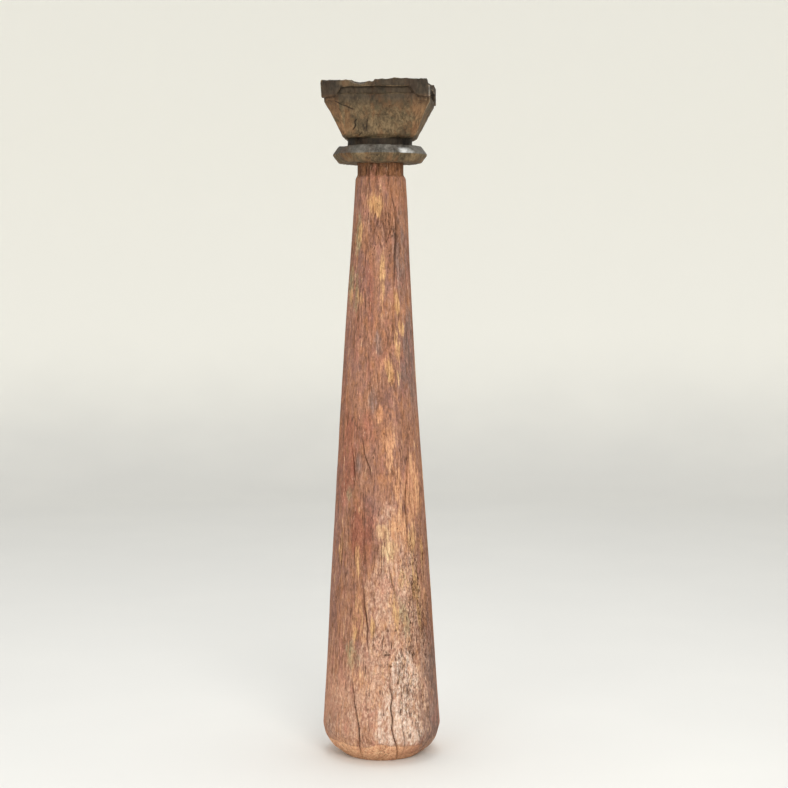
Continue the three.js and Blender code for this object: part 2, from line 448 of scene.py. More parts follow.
FRONT_CRACKS = (
    Crack(((1.788, 29), (1.709, 39), (1.640, 40), (1.547, 36), (1.480, 33)), 0.006, 0.013),
    Crack(((1.640, -18), (1.571, -23), (1.488, -26)), 0.005, 0.009),
    Crack(((1.075, 53), (0.929, 46), (0.821, 40), (0.737, 40), (0.655, 40)), 0.007, 0.016),
    Crack(((0.990, -38), (0.935, -33), (0.858, -30)), 0.008, 0.016),
    Crack(((1.016, -21), (0.951, -14), (0.916, -7), (0.868, -4)), 0.006, 0.011),
    Crack(((0.620, 15), (0.560, 19), (0.505, 24)), 0.006, 0.011),
    Crack(((0.576, -16), (0.477, -13), (0.408, -10), (0.330, -7)), 0.007, 0.013),
    Crack(((0.806, -15), (0.690, -15), (0.550, -14)), 0.005, 0.006),
    Crack(((0.650, 50), (0.560, 52), (0.470, 50)), 0.006, 0.014),
    Crack(((0.690, 64), (0.620, 66), (0.550, 65)), 0.007, 0.014),
    Crack(((0.570, 42), (0.500, 45), (0.440, 43)), 0.007, 0.014),
    Crack(((0.400, 55), (0.330, 57), (0.260, 55)), 0.005, 0.010),
    Crack(((1.856, -25), (1.800, -24), (1.740, -30)), 0.005, 0.007),
    Crack(((1.856, -4), (1.820, -6), (1.775, -3)), 0.005, 0.007),
    Crack(((1.850, 30), (1.815, 27), (1.770, 22)), 0.005, 0.007),
    Crack(((1.770, 8), (1.715, 10), (1.650, 4)), 0.005, 0.006),
    Crack(((1.740, 22), (1.680, 26), (1.600, 14)), 0.005, 0.006),
    Crack(((1.660, -44), (1.620, -50), (1.578, -58)), 0.006, 0.007),
    Crack(((1.634, 37), (1.560, 35), (1.468, 33), (1.400, 32)), 0.005, 0.007),
    Crack(((1.790, 55), (1.763, 62), (1.690, 66)), 0.006, 0.009),
    Crack(((1.300, -13), (1.240, -11), (1.170, -11)), 0.005, 0.006),
    Crack(((1.705, 4), (1.675, 0), (1.640, -8)), 0.005, 0.009),
    Crack(((1.695, 9), (1.660, 13), (1.630, 17)), 0.005, 0.009),
    Crack(((1.688, 29), (1.650, 26), (1.605, 18)), 0.005, 0.008),
    Crack(((1.660, 30), (1.630, 40), (1.595, 50)), 0.005, 0.009),
    Crack(((1.645, -2), (1.620, 4), (1.590, 10)), 0.005, 0.007),
    Crack(((0.292, -26), (0.204, -25), (0.116, -17), (0.076, -17), (-0.020, -23)), 0.0068, 0.017),
    Crack(((0.308, 14), (0.179, 15), (0.118, 15), (0.076, 18), (-0.020, 30)), 0.0068, 0.018),
    Crack(((0.142, 24), (0.100, 27), (0.030, 30)), 0.006, 0.012),
    Crack(((0.136, 39), (0.104, 43), (0.070, 47)), 0.007, 0.012),
    Crack(((0.160, -57), (0.130, -59), (0.100, -60)), 0.007, 0.012),
)

HIDDEN_CRACKS = (
    Crack(((1.560, 112), (1.390, 108), (1.205, 113)), 0.007, 0.013),
    Crack(((0.820, 96), (0.560, 101), (0.330, 97)), 0.008, 0.015),
    Crack(((1.330, 172), (1.000, 178), (0.655, 174)), 0.009, 0.018),
    Crack(((0.420, 204), (0.210, 200), (0.030, 206)), 0.009, 0.017),
    Crack(((1.700, 238), (1.420, 244), (1.180, 240)), 0.007, 0.013),
    Crack(((0.700, 262), (0.480, 258), (0.260, 263)), 0.008, 0.014),
)

FRONT_PATCHES = (
    *patches(
        ShaftMark.OCHRE,
        ((1.760, -8), (1.690, -3), 0.020),
        ((1.575, 11), (1.420, 9), 0.008, 0.9),
        ((1.460, 37), (1.395, 41), 0.008),
        ((1.375, 44), (1.330, 47), 0.009),
        ((1.340, 33), (1.245, 36), 0.010),
        ((1.265, 20), (1.180, 27), 0.022, 0.75),
        ((0.745, 47), (0.650, 47), 0.012, 0.8),
        ((0.720, -50), (0.590, -48), 0.010, 0.8),
        ((0.680, -23), (0.560, -22), 0.009, 0.8),
        ((0.520, -23), (0.375, -23), 0.015, 0.95),
        ((0.640, 47), (0.420, 51), 0.009),
        ((0.530, 20), (0.410, 24), 0.009),
        ((0.455, -4), (0.395, -3), 0.006),
        ((1.680, -38), (1.610, -40), 0.008, 0.8),
        ((1.475, -55), (1.415, -53), 0.010, 0.8),
        ((1.465, -33), (1.420, -30), 0.008, 0.7),
        ((0.700, 62), (0.600, 62), 0.009),
    ),
    *patches(
        ShaftMark.PEACH,
        ((1.120, 7), (1.055, 6), 0.009),
        ((1.060, 21), (0.880, 19), 0.015, 1.0),
        ((0.935, 28), (0.815, 27), 0.008),
        ((0.930, 55), (0.755, 52), 0.027, 1.6),
        ((0.830, 33), (0.670, 36), 0.012),
        ((0.605, 61), (0.470, 59), 0.019, 0.85),
        ((0.310, -19), (0.230, -13), 0.026, 0.8),
        ((0.780, 22), (0.660, 24), 0.013, 0.8),
    ),
    *patches(
        ShaftMark.CREAM,
        ((0.745, 7), (0.690, 9), 0.018),
        ((0.700, 14), (0.640, 17), 0.024),
        ((0.600, 30), (0.545, 29), 0.008),
    ),
    *patches(
        ShaftMark.RED,
        ((0.830, -22), (0.620, -15), 0.034),
        ((1.120, -45), (0.760, -48), 0.040, 0.7),
        ((1.560, -30), (1.200, -32), 0.026, 0.35),
        ((1.590, -11), (1.300, -10), 0.018, 0.45),
        ((1.350, 8), (1.200, 7), 0.018, 0.5),
        ((1.100, -7), (0.960, -6), 0.022, 0.5),
        ((0.240, -29), (0.090, -31), 0.030, 0.4),
        # Painted shade on the right of the foot.
        ((0.060, 42), (0.010, 42), 0.045, 0.55),
    ),
    *patches(
        ShaftMark.PALE,
        ((0.830, 23), (0.600, 23), 0.042, 0.55),
        ((0.670, 24), (0.350, 20), 0.062, 1.1),
        ((0.430, 15), (0.120, 15), 0.095, 1.05),
        ((0.420, 34), (0.080, 30), 0.070, 0.8),
        ((0.300, -20), (0.030, -18), 0.110, 0.55),
    ),
    *patches(
        ShaftMark.BLEACHED,
        ((0.345, 28), (0.225, 32), 0.034, 0.9),
        ((0.150, 10), (0.055, 11), 0.026, 0.9),
        ((0.240, 22), (0.050, 22), 0.050),
        ((0.140, 31), (0.050, 31), 0.036),
    ),
    *patches(
        ShaftMark.LICHEN,
        ((0.510, 24), (0.400, 34), 0.016),
        ((0.380, -30), (0.290, -22), 0.019, 1.1),
        ((1.520, -40), (1.370, -42), 0.009, 0.8),
        ((0.860, -38), (0.800, -37), 0.012, 0.8),
        ((1.700, -42), (1.560, -44), 0.012, 0.8),
        ((1.540, -60), (1.430, -62), 0.014),
        ((0.590, 50), (0.500, 52), 0.012, 0.7),
    ),
    *patches(
        ShaftMark.GREY,
        ((1.720, 52), (1.440, 56), 0.028, 0.8),
        ((1.420, 66), (1.080, 68), 0.024, 0.8),
        ((1.260, 47), (1.160, 44), 0.018, 0.8),
        ((1.345, 6), (1.265, 6), 0.011, 0.9),
        ((1.170, 0), (1.090, 1), 0.012, 0.8),
        ((0.970, -23), (0.900, -23), 0.012, 0.7),
        ((0.360, 66), (0.030, 66), 0.060, 1.3),
        ((0.190, -57), (0.060, -56), 0.034, 0.55),
        ((0.660, 62), (0.400, 62), 0.030, 0.25),
    ),
    *patches(
        ShaftMark.PITTED,
        ((1.740, 14), (1.560, 18), 0.042, 0.7),
        ((0.720, 54), (0.280, 54), 0.048, 1.1),
        ((0.640, 44), (0.500, 42), 0.016),
        ((0.480, 32), (0.130, 40), 0.055, 0.8),
        ((0.640, 2), (0.580, 4), 0.016, 0.8),
        ((0.440, 6), (0.300, 10), 0.050, 0.6),
    ),
)

PLACED_PITS = (
    Pit((0.345, 11), 0.006, 0.018, 0.005),
    Pit((0.375, 6), 0.022, 0.0035, 0.004),
    Pit((0.375, 16), 0.022, 0.0035, 0.004),
    Pit((0.162, 7), 0.009, 0.006, 0.006),
    Pit((0.165, 24), 0.014, 0.005, 0.007),
    Pit((0.420, 12), 0.010, 0.007, 0.004),
    Pit((0.420, 21), 0.009, 0.006, 0.004),
)


@dataclass(frozen=True)
class ShaftWood:
    """Dry, bare, sun-worn hardwood with long grain, pale streaks and dark cracks, and painted light in its
    colour: a highlight on the lower half, shade in the neck and under the capital, bounce light on the
    foot.
    """

    dark: Colour = tone(109, 74, 57)
    brown: Colour = tone(146, 104, 83)
    light: Colour = tone(174, 132, 107)
    mauve: Colour = tone(140, 104, 96)
    tan: Colour = tone(166, 116, 84)
    orange: Colour = tone(178, 122, 84)
    crack: Colour = tone(72, 46, 33)
    pit: Colour = tone(84, 59, 47)
    crazing: Colour = tone(138, 96, 76)
    fleck: Colour = tone(214, 180, 150)
    rosy: Colour = tone(200, 146, 120)
    pink: Colour = tone(184, 124, 108)
    straw: Colour = tone(222, 170, 120)
    ashen: Colour = tone(158, 132, 118)
    washes: tuple[Wash, ...] = (
        # The bare foot, brightened as painted bounce light from the floor.
        Wash(ShaftMark.FOOT_AND_BOUNCE_LIGHT, tone(200, 142, 106), tone(252, 200, 158), 0.85, low=0.1, tear=0.3),
        # Painted highlight over the lower half of the shaft.
        Wash(ShaftMark.PAINTED_HIGHLIGHT, tone(164, 116, 92), tone(204, 154, 126), 0.85, low=0.1, tear=0.4),
        # Painted shade in the neck and under the capital.
        Wash(ShaftMark.NECK_SHADE, tone(40, 26, 17), tone(128, 87, 58), 0.92, low=0.1, tear=0.5),
        Wash(ShaftMark.RED, tone(104, 57, 46), tone(154, 94, 75), 0.78, low=0.15, tear=0.7),
        Wash(ShaftMark.GREY, tone(88, 73, 67), tone(144, 120, 111), 0.8, low=0.15, tear=0.7),
        Wash(ShaftMark.PALE, tone(184, 138, 114), tone(224, 184, 158), 0.9, True, 0.12, 1.0, 0.9),
        Wash(ShaftMark.BLEACHED, tone(206, 170, 148), tone(246, 222, 203), 0.85, True, 0.15, 0.9, 0.7),
        Wash(ShaftMark.LICHEN, tone(112, 104, 80), tone(172, 160, 124), 0.72, True, 0.2, tear=0.8),
        Wash(ShaftMark.OCHRE, tone(166, 118, 78), tone(214, 170, 118), 0.8, tear=0.85),
        Wash(ShaftMark.PEACH, tone(180, 122, 88), tone(226, 172, 130), 0.8, tear=0.85),
        Wash(ShaftMark.CREAM, tone(184, 140, 104), tone(232, 196, 152), 0.85, tear=0.75),
    )

    def material(self) -> bpy.types.Material:
        """Build the shaft's material.

        Returns:
            The material, which reads the masks that the shaft's mesh carries.
        """
        graph = Graph("shaft_wood")
        broad = graph.noise((34, 34, 1.6), 3, 0.6)
        strands = graph.noise((105, 105, 6), 4, 0.62)
        fibres = graph.noise((280, 280, 38), 3, 0.7)
        grit = graph.noise((210, 210, 130), 3, 0.65)
        flake = graph.noise((150, 150, 75), 4, 0.65)
        scab = graph.noise((50, 50, 22), 3, 0.6)
        blotch = graph.noise((10, 10, 4.5), 4, 0.6)
        warmth = graph.noise((19, 19, 3.2), 4, 0.6)
        hue = graph.noise((75, 75, 24), 3, 0.65)
        grain = strands * 0.35 + fibres * 0.4 + broad * 0.25
        colour = graph.ramp(grain, ((0.36, self.dark), (0.49, self.brown), (0.62, self.light)))
        colour = graph.stack(
            colour,
            (blotch.rise(0.45, 0.64) * 0.6, self.mauve),
            (warmth.rise(0.48, 0.66) * 0.5, self.tan),
            (hue.rise(0.52, 0.68) * 0.5, self.orange),
            (hue.rise(0.48, 0.32) * 0.5, self.mauve),
        )
        torn = (strands - 0.5) * 2.0 + (fibres - 0.5) * 1.5 + (scab - 0.5) * 0.8
        crumbled = (flake - 0.5) * 1.1 + (scab - 0.5) * 1.4 + (fibres - 0.5) * 0.6
        for wash in self.washes:
            texture, breakup = (flake, crumbled) if wash.crumbly else (grain, torn)
            colour = graph.wash(wash, colour, texture, breakup)
        flaking = graph.mask(ShaftMark.PALE)
        tint = graph.noise((30, 30, 13), 3, 0.6)
        mottle = graph.noise((110, 110, 48), 3, 0.65)
        colour = graph.stack(
            colour,
            (tint.rise(0.54, 0.68) * 0.3, self.orange),
            (tint.rise(0.46, 0.32) * 0.3, self.pink),
            (hue.rise(0.5, 0.66) * flaking * 0.35, self.straw),
            (scab.rise(0.52, 0.68) * flaking * 0.35, self.ashen),
            (mottle.rise(0.54, 0.7) * 0.32, self.dark),
            (mottle.rise(0.46, 0.32) * 0.3, self.rosy),
        )
        speckle = fibres * 0.45 + grit * 0.4 + strands * 0.15
        colour = graph.mix(0.85, colour, (speckle - 0.5) * 1.7 + 0.5, "OVERLAY")
        crazed = (1 - abs(graph.noise((80, 80, 42), 3, 0.6) - 0.5).rise(0.0, 0.04)) * flaking
        lines = abs(graph.noise((62, 62, 1.2), 1, 0.5) - 0.5)
        gaps = graph.noise((24, 24, 5), 2, 0.5).rise(0.5, 0.62)
        hair = (1 - lines.rise(0.0, 0.02)) * gaps
        specks = graph.noise((330, 330, 95), 2, 0.6) * 0.75 + graph.noise((60, 60, 20), 2, 0.5) * 0.25
        holes = (specks + graph.mask(ShaftMark.PITTED) * 0.1).rise(0.63, 0.71)
        colour = graph.stack(
            colour,
            (grit.rise(0.64, 0.76) * 0.22, self.fleck),
            (crazed * 0.4, self.crazing),
            (hair * 0.5, self.crack),
            (holes * 0.7, self.pit),
            (graph.mask(ShaftMark.PIT).rise(0.25, 0.85) * 0.75, self.pit),
            (graph.mask(ShaftMark.CRACK).rise(0.2, 0.95) * 0.9, self.crack),
        )
        ridges = strands * 0.4 + fibres * 0.4 + flake * 0.15 + flaking * flake * 0.4
        height = ridges - hair * 0.35 - holes * 0.5 - crazed * 0.15
        graph.finish(colour, 0.74 + fibres * 0.2, height, 0.006, 0.1)
        return graph.material


class CapitalMark(Enum):
    """What age left on the capital, and the painted light and shade on it, by the name of its mask."""

    FACET = "facet"
    SOOT = "soot"
    # Dusty film, with a painted sky sheen on the collar's upper bevel.
    DUST_AND_SHEEN = "dust"
    # Painted shade in the hollows, in the neck under the collar and on the left of the collar's bevel.
    CAVITY_SHADE = "cavity"
    # Worn bright edges, with painted highlights on the groove's edges, the front right corner edge and the
    # bell's right face.
    EDGE = "edge"
    # A pale chipped spot on the collar's upper bevel, painted as a highlight too, with part of the corner
    # edge's painted highlight.
    CHIP_AND_HIGHLIGHT = "chip"
    CRACK = "crack"


@dataclass(frozen=True)
class CapitalWood:
    """Dark aged hardwood, dusty on its upper faces and worn bright along the edges, with a painted sky
    sheen on the upper faces, painted highlights on some edges and on the bell's right face, and painted
    shade in the hollows.
    """

    dark: Colour = tone(54, 45, 34)
    brown: Colour = tone(94, 78, 57)
    light: Colour = tone(130, 109, 80)
    russet: Colour = tone(122, 84, 54)
    moss: Colour = tone(76, 71, 53)
    crack: Colour = tone(34, 26, 20)
    washes: tuple[Wash, ...] = (
        Wash(CapitalMark.FACET, tone(92, 62, 42), tone(150, 114, 80), 0.75, low=0.2, high=0.9),
        Wash(CapitalMark.SOOT, tone(20, 18, 16), tone(52, 45, 38), 0.85, low=0.05, high=0.95),
        # Dusty blue-grey film and painted sky sheen on the upper faces.
        Wash(CapitalMark.DUST_AND_SHEEN, tone(64, 61, 55), tone(110, 109, 104), 0.85, low=0.2, high=0.85),
        # Painted shade in the hollows and the neck.
        Wash(CapitalMark.CAVITY_SHADE, tone(18, 15, 12), tone(46, 39, 31), 0.9, low=0.2, high=0.8),
        # Worn edges and painted highlights.
        Wash(CapitalMark.EDGE, tone(112, 90, 64), tone(172, 144, 106), 0.6, low=0.45, high=1.0),
        # The pale chipped spot and its painted highlight.
        Wash(CapitalMark.CHIP_AND_HIGHLIGHT, tone(188, 188, 185), tone(228, 228, 225), 0.85, True, 0.15, 1.0, 0.4),
    )

    def material(self) -> bpy.types.Material:
        """Build the capital's material.

        Returns:
            The material, which reads the masks that the capital's mesh carries.
        """
        graph = Graph("capital_wood")
        blotch = graph.noise((22, 22, 13), 5, 0.62)
        warmth = graph.noise((28, 28, 11), 4, 0.6)
        mould = graph.noise((36, 36, 22), 4, 0.6)
        crumb = graph.noise((140, 140, 70), 3, 0.65)
        strands = graph.noise((140, 140, 20), 4, 0.65)
        fibres = graph.noise((420, 420, 50), 3, 0.7)
        grain = blotch * 0.45 + strands * 0.3 + crumb * 0.25
        colour = graph.ramp(grain, ((0.37, self.dark), (0.49, self.brown), (0.61, self.light)))
        colour = graph.stack(
            colour,
            (warmth.rise(0.48, 0.63) * 0.45, self.russet),
            (mould.rise(0.52, 0.68) * 0.55, self.moss),
        )
        torn = (strands - 0.5) * 0.7 + (blotch - 0.5) * 0.8
        for wash in self.washes:
            colour = graph.wash(wash, colour, crumb if wash.crumbly else grain, torn)
        colour = graph.mix(0.6, colour, crumb * 0.3 + fibres * 0.4 + strands * 0.3, "OVERLAY")
        lines = abs(graph.noise((80, 80, 10), 2, 0.5) - 0.5)
        gaps = graph.noise((34, 34, 28), 2, 0.5).rise(0.5, 0.6)
        hair = (1 - lines.rise(0.0, 0.02)) * gaps
        opened = graph.mask(CapitalMark.CRACK).rise(0.2, 0.8)
        colour = graph.stack(colour, (hair * 0.6, self.crack), (opened * 0.85, self.crack))
        height = strands * 0.4 + fibres * 0.2 + crumb * 0.3 + blotch * 0.5 - hair * 0.3
        graph.finish(colour, 0.55 + fibres * 0.25, height, 0.0035, 0.16)
        return graph.material


@dataclass(frozen=True)
class StudioPaint:
    """Plain pale paint of the floor and the backdrop."""

    floor: Colour = tone(222, 221, 217)
    wall: Colour = tone(251, 249, 241)

    def material(self) -> bpy.types.Material:
        """Build the studio's material.

        Returns:
            A matt off-white that is a little greyer on the floor.
        """
        graph = Graph("studio_paint")
        height = graph.add("ShaderNodeSeparateXYZ", {}, {0: graph.place}, "Z")
        cloud = graph.noise((1.5, 1.5, 1.5), 2, 0.5)
        colour = graph.mix((height + cloud * 0.3).rise(0.0, 1.2), self.floor, self.wall)
        graph.finish(colour, 0.85, cloud, 0.0001, 0.15)
        return graph.material


@dataclass(frozen=True)
class SmallChecks:
    """How short drying checks are drawn all round the shaft."""

    count: int = 80
    lowest: Span = (0.03, 1.70)
    length: Span = (0.05, 0.30)
    below_top: float = 0.04
    bearing: Span = (-180, 180)
    drift: Span = (-5, 5)
    width: Span = (0.004, 0.006)
    depth: Span = (0.002, 0.005)

    def draw(self, random: np.random.Generator, top: float) -> Iterable[Crack]:
        """Draw the checks.

        Args:
            random: The source of the draws.
            top: The height of the shaft's top.

        Returns:
            The checks, one after another.
        """
        for _ in range(self.count):
            low = random.uniform(*self.lowest)
            high = min(low + random.uniform(*self.length), top - self.below_top)
            bearing = random.uniform(*self.bearing)
            drift = random.uniform(*self.drift)
            width, depth = random.uniform(*self.width), random.uniform(*self.depth)
            yield Crack(((low, bearing), (high, bearing + drift)), width, depth)


@dataclass(frozen=True)
class ScatteredPits:
    """How small pits are drawn: every second one in a crowd, given by its middle and its spread."""

    count: int = 110
    crowd_height: Span = (0.32, 0.14)
    crowd_bearing: Span = (36, 15)
    height: Span = (0.08, 1.78)
    bearing: Span = (-180, 180)
    lowest: float = 0.09
    half_length: Span = (0.006, 0.018)
    half_width: Span = (0.0026, 0.0040)
    depth: Span = (0.0015, 0.004)

    def draw(self, random: np.random.Generator) -> Iterable[Pit]:
        """Draw the pits.

        Args:
            random: The source of the draws.

        Returns:
            The pits, one after another.
        """
        for index in range(self.count):
            crowded = index % 2 == 0
            height = random.normal(*self.crowd_height) if crowded else random.uniform(*self.height)
            bearing = random.normal(*self.crowd_bearing) if crowded else random.uniform(*self.bearing)
            length, width = random.uniform(*self.half_length), random.uniform(*self.half_width)
            place = (max(height, self.lowest), bearing)
            yield Pit(place, length, width, random.uniform(*self.depth))


@dataclass(frozen=True)
class HiddenPatches:
    """How plainer patches are drawn for the sides and the back."""

    count: int = 42
    kinds: tuple[ShaftMark, ...] = (
        ShaftMark.OCHRE, ShaftMark.RED, ShaftMark.GREY, ShaftMark.OCHRE, ShaftMark.CREAM, ShaftMark.LICHEN,
    )
    broad: tuple[ShaftMark, ...] = (ShaftMark.RED, ShaftMark.GREY)
    broadening: float = 2.5
    highest: Span = (0.25, 1.75)
    length: Span = (0.06, 0.30)
    lowest: float = 0.05
    bearing: Span = (82, 278)
    drift: Span = (-5, 5)
    half_width: Span = (0.008, 0.016)
    strength: float = 0.75

    def draw(self, random: np.random.Generator) -> Iterable[Patch]:
        """Draw the patches.

        Args:
            random: The source of the draws.

        Returns:
            The patches, one after another.
        """
        for index in range(self.count):
            stain = self.kinds[index % len(self.kinds)]
            high = random.uniform(*self.highest)
            low = max(high - random.uniform(*self.length), self.lowest)
            bearing = random.uniform(*self.bearing)
            width = random.uniform(*self.half_width)
            if stain in self.broad:
                width *= self.broadening
            bottom = (low, bearing + random.uniform(*self.drift))
            yield Patch(stain, (high, bearing), bottom, width, self.strength)


def new_object(name: str, mesh: bpy.types.Mesh, material: bpy.types.Material) -> bpy.types.Object:
    """Put a mesh in the scene with its material.

    Args:
        name: The object's name.
        mesh: Its mesh, in the row's frame.
        material: Its only material.

    Returns:
        The new object.
    """
    mesh.materials.clear()
    mesh.materials.append(material)
    made = bpy.data.objects.new(name, mesh)
    bpy.context.scene.collection.objects.link(made)
    return made


def paint_masks(mesh: bpy.types.Mesh, masks: Mapping[Enum, np.ndarray]) -> None:
    """Store masks on a mesh, one number a point.

    Args:
        mesh: The mesh to paint.
        masks: Numbers from 0 to 1 for every point, by the mask that the material reads.
    """
    for mask, values in masks.items():
        layer = mesh.attributes.new(mask.value, "FLOAT", "POINT")
        layer.data.foreach_set("value", np.ascontiguousarray(values, dtype=np.float32).ravel())


@dataclass
class Shaft:
    """The round tapering shaft, one long log with a chamfered foot and a thin neck."""

    columns: int = 360
    foot_radius: float = 0.120
    foot_edge: tuple[float, float] = (0.062, 0.180)
    foot_rounding: float = 0.010
    swell: tuple[float, float] = (0.093, 0.187)
    shoulder: tuple[float, float] = (1.812, 0.079)
    ledge: tuple[float, float] = (1.822, 0.0725)
    taper_hollow: float = 0.0025
    lean: float = 0.004
    bow: float = 0.006
    bow_rise: float = 1.5
    edge_round: float = 0.003
    wander: float = 1.1
    full_depth: float = 0.015
    hidden: HiddenPatches = HiddenPatches()
    checks: SmallChecks = SmallChecks()
    pits: ScatteredPits = ScatteredPits()
    # Painted shade on the shaft's top under the capital: how dark, and between which heights.
    under_capital_shade: float = 0.26
    under_capital_shade_heights: tuple[float, float] = (1.68, 1.79)
    # Painted highlight over the lower half, weaker round the shaded bearing.
    painted_highlight_heights: tuple[float, float] = (0.55, 0.10)
    shaded_bearing: float = 74
    flake_depth: float = 0.0007
    ripples: tuple[Ripple, ...] = (
        Ripple(0.0016, 0.0, (9, 9, 1.3)),
        Ripple(0.0009, 3.1, (48, 48, 1.6)),
        Ripple(0.0005, 5.7, (120, 120, 3.5)),
    )
    stain_lumps: tuple[Ripple, ...] = (Ripple(0.3, 4.2, (24, 24, 8)), Ripple(0.25, 6.6, (62, 62, 20)))
    seed: int = 11
    wood: ShaftWood = field(default_factory=ShaftWood)

    def __post_init__(self) -> None:
        """Lay out the rows and columns of the surface."""
        self.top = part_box("shaft")[1].z
        stretches = ((0.0, 0.10, 22), (0.10, 1.79, 228), (1.79, self.top, 20))
        rows = [np.linspace(low, high, count, endpoint=False) for low, high, count in stretches]
        self.heights = np.append(np.concatenate(rows), self.top)
        self.bearings = np.linspace(-180, 180, self.columns, endpoint=False)
        self.radii = self._profile(self.heights)
        self.random = np.random.default_rng(self.seed)
        self.noise = SmoothNoise(self.seed)

    def _profile(self, heights: np.ndarray) -> np.ndarray:
        """Radius of the plain shaft at each height, with slightly rounded edges.

        Args:
            heights: Heights above the floor.

        Returns:
            The radii.
        """
        places = np.array([(0.0, self.foot_radius), self.foot_edge, self.swell, self.shoulder, self.ledge])
        softened = [
            np.interp(heights + shift, places[:, 0], places[:, 1])
            for shift in (-self.edge_round, 0.0, self.edge_round)
        ]
        along = np.clip((heights - self.swell[0]) / (self.shoulder[0] - self.swell[0]), 0, 1)
        radii = np.mean(softened, axis=0) - self.taper_hollow * np.sin(math.pi * along)
        radii += self.foot_rounding * np.sin(math.pi * np.clip(heights / self.foot_edge[0], 0, 1))
        return np.where(heights <= 0, self.foot_radius, radii)

    def _arc(self, rows: np.ndarray, path: np.ndarray) -> np.ndarray:
        """Distance round the shaft from a path.

        Args:
            rows: Which rows are asked for.
            path: The path's bearing on each of them.

        Returns:
            Signed distances, rows by columns.
        """
        turn = (self.bearings[None, :] - path[:, None] + 180) % 360 - 180
        return np.radians(turn) * self.radii[rows][:, None]

    def _wander(self, heights: np.ndarray, key: float, per_metre: float) -> np.ndarray:
        """Side-to-side wander of a line that follows the grain.

        Args:
            heights: Heights along the line.
            key: A number that tells one line from another.
            per_metre: Bends per metre.

        Returns:
            Numbers roughly from -1 to 1.
        """
        line = np.stack([np.full_like(heights, key), np.full_like(heights, 0.5), heights], axis=-1)
        return self.noise.at(line, (1, 1, per_metre))

    def _cut(self, crack: Crack, relief: np.ndarray, mask: np.ndarray) -> None:
        """Open one crack in the relief and darken it in the mask.

        Args:
            crack: The crack to open.
            relief: Depths over the surface, changed in place.
            mask: How open the wood is, changed in place.
        """
        heights, bearings = np.array(sorted(crack.stops)).T
        rows = np.flatnonzero((self.heights > heights[0]) & (self.heights < heights[-1]))
        if rows.size == 0:
            return
        level = self.heights[rows]
        along = (level - heights[0]) / (heights[-1] - heights[0])
        opening = np.sqrt(np.sin(math.pi * along))[:, None]
        path = np.interp(level, heights, bearings)
        path += self.wander * self._wander(level, bearings[0] + heights[0], 28)
        reach = crack.width / 2 * (0.45 + 0.55 * opening)
        cut = np.clip(1.15 - np.abs(self._arc(rows, path)) / reach, 0, 1) * opening
        relief[rows] = np.minimum(relief[rows], relief[rows] - crack.depth * cut)
        mask[rows] = np.maximum(mask[rows], cut * min(1.0, crack.depth / self.full_depth))

    def _sink(self, pit: Pit, relief: np.ndarray, mask: np.ndarray) -> None:
        """Sink one pit into the relief and darken it in the mask.

        Args:
            pit: The pit to sink.
            relief: Depths over the surface, changed in place.
            mask: How open the wood is, changed in place.
        """
        height, bearing = pit.place
        rows = np.flatnonzero(np.abs(self.heights - height) < pit.half_length)
        if rows.size == 0:
            return
        rise_share = (self.heights[rows] - height)[:, None] / pit.half_length
        side_share = self._arc(rows, np.full(rows.size, bearing)) / pit.half_width
        bowl = np.clip(1 - rise_share**2 - side_share**2, 0, 1)
        relief[rows] -= pit.depth * bowl
        mask[rows] = np.maximum(mask[rows], bowl)

    def _stain(self, patch: Patch, lumps: np.ndarray, masks: Mapping[ShaftMark, np.ndarray]) -> None:
        """Paint one patch into its mask.

        Args:
            patch: The patch to paint.
            lumps: How well the stain holds at each point, round 1.
            masks: The masks by stain, changed in place.
        """
        (high, bearing_high), (low, bearing_low) = patch.top, patch.bottom
        fade = min((high - low) * 0.45, 0.10)
        rows = np.flatnonzero((self.heights > low - fade) & (self.heights < high + fade))
        level = self.heights[rows]
        path = np.interp(level, (low, high), (bearing_low, bearing_high))
        path = path + 2.0 * self._wander(level, high * 7 + bearing_high, 9)
        taper = rise(level, low - fade, low + fade) * rise(level, high + fade, high - fade)
        away = np.abs(self._arc(rows, path)) / (patch.half_width * (0.5 + 0.7 * taper[:, None]))
        shade = patch.strength * taper[:, None] * rise(away, 1.8, 0.3) * lumps[rows]
        mask = masks[patch.stain]
        mask[rows] = np.maximum(mask[rows], shade)

    def _patch_masks(self, plain: np.ndarray) -> dict[ShaftMark, np.ndarray]:
        """Paint every stained patch.

        Args:
            plain: The points of the plain shaft, rows by columns.

        Returns:
            The masks by stain, with those of cracks and pits still empty.
        """
        masks = {stain: np.zeros(plain.shape[:-1]) for stain in ShaftMark}
        lumps = 1.0 + self.noise.layered(plain, self.stain_lumps)
        for patch in (*FRONT_PATCHES, *self.hidden.draw(self.random)):
            self._stain(patch, lumps, masks)
        return masks

    def _relief(self, plain: np.ndarray, masks: Mapping[ShaftMark, np.ndarray]) -> np.ndarray:
        """Work out the depth of the grain, the flaking, the cracks and the pits.

        Args:
            plain: The points of the plain shaft.
            masks: The masks by stain; those of cracks and pits are changed in place.

        Returns:
            How far each point stands out.
        """
        heights = plain[..., 2]
        relief = self.noise.layered(plain, self.ripples)
        flakes = np.tanh(4 * self.noise.at(plain + 8.2, (62, 62, 34)))
        relief += self.flake_depth * flakes * masks[ShaftMark.PALE]
        for crack in (*FRONT_CRACKS, *HIDDEN_CRACKS, *self.checks.draw(self.random, self.top)):
            self._cut(crack, relief, masks[ShaftMark.CRACK])
        for pit in (*PLACED_PITS, *self.pits.draw(self.random)):
            self._sink(pit, relief, masks[ShaftMark.PIT])
        return relief * rise(heights, 0.0, 0.012) * rise(heights, self.top, self.top - 0.006)

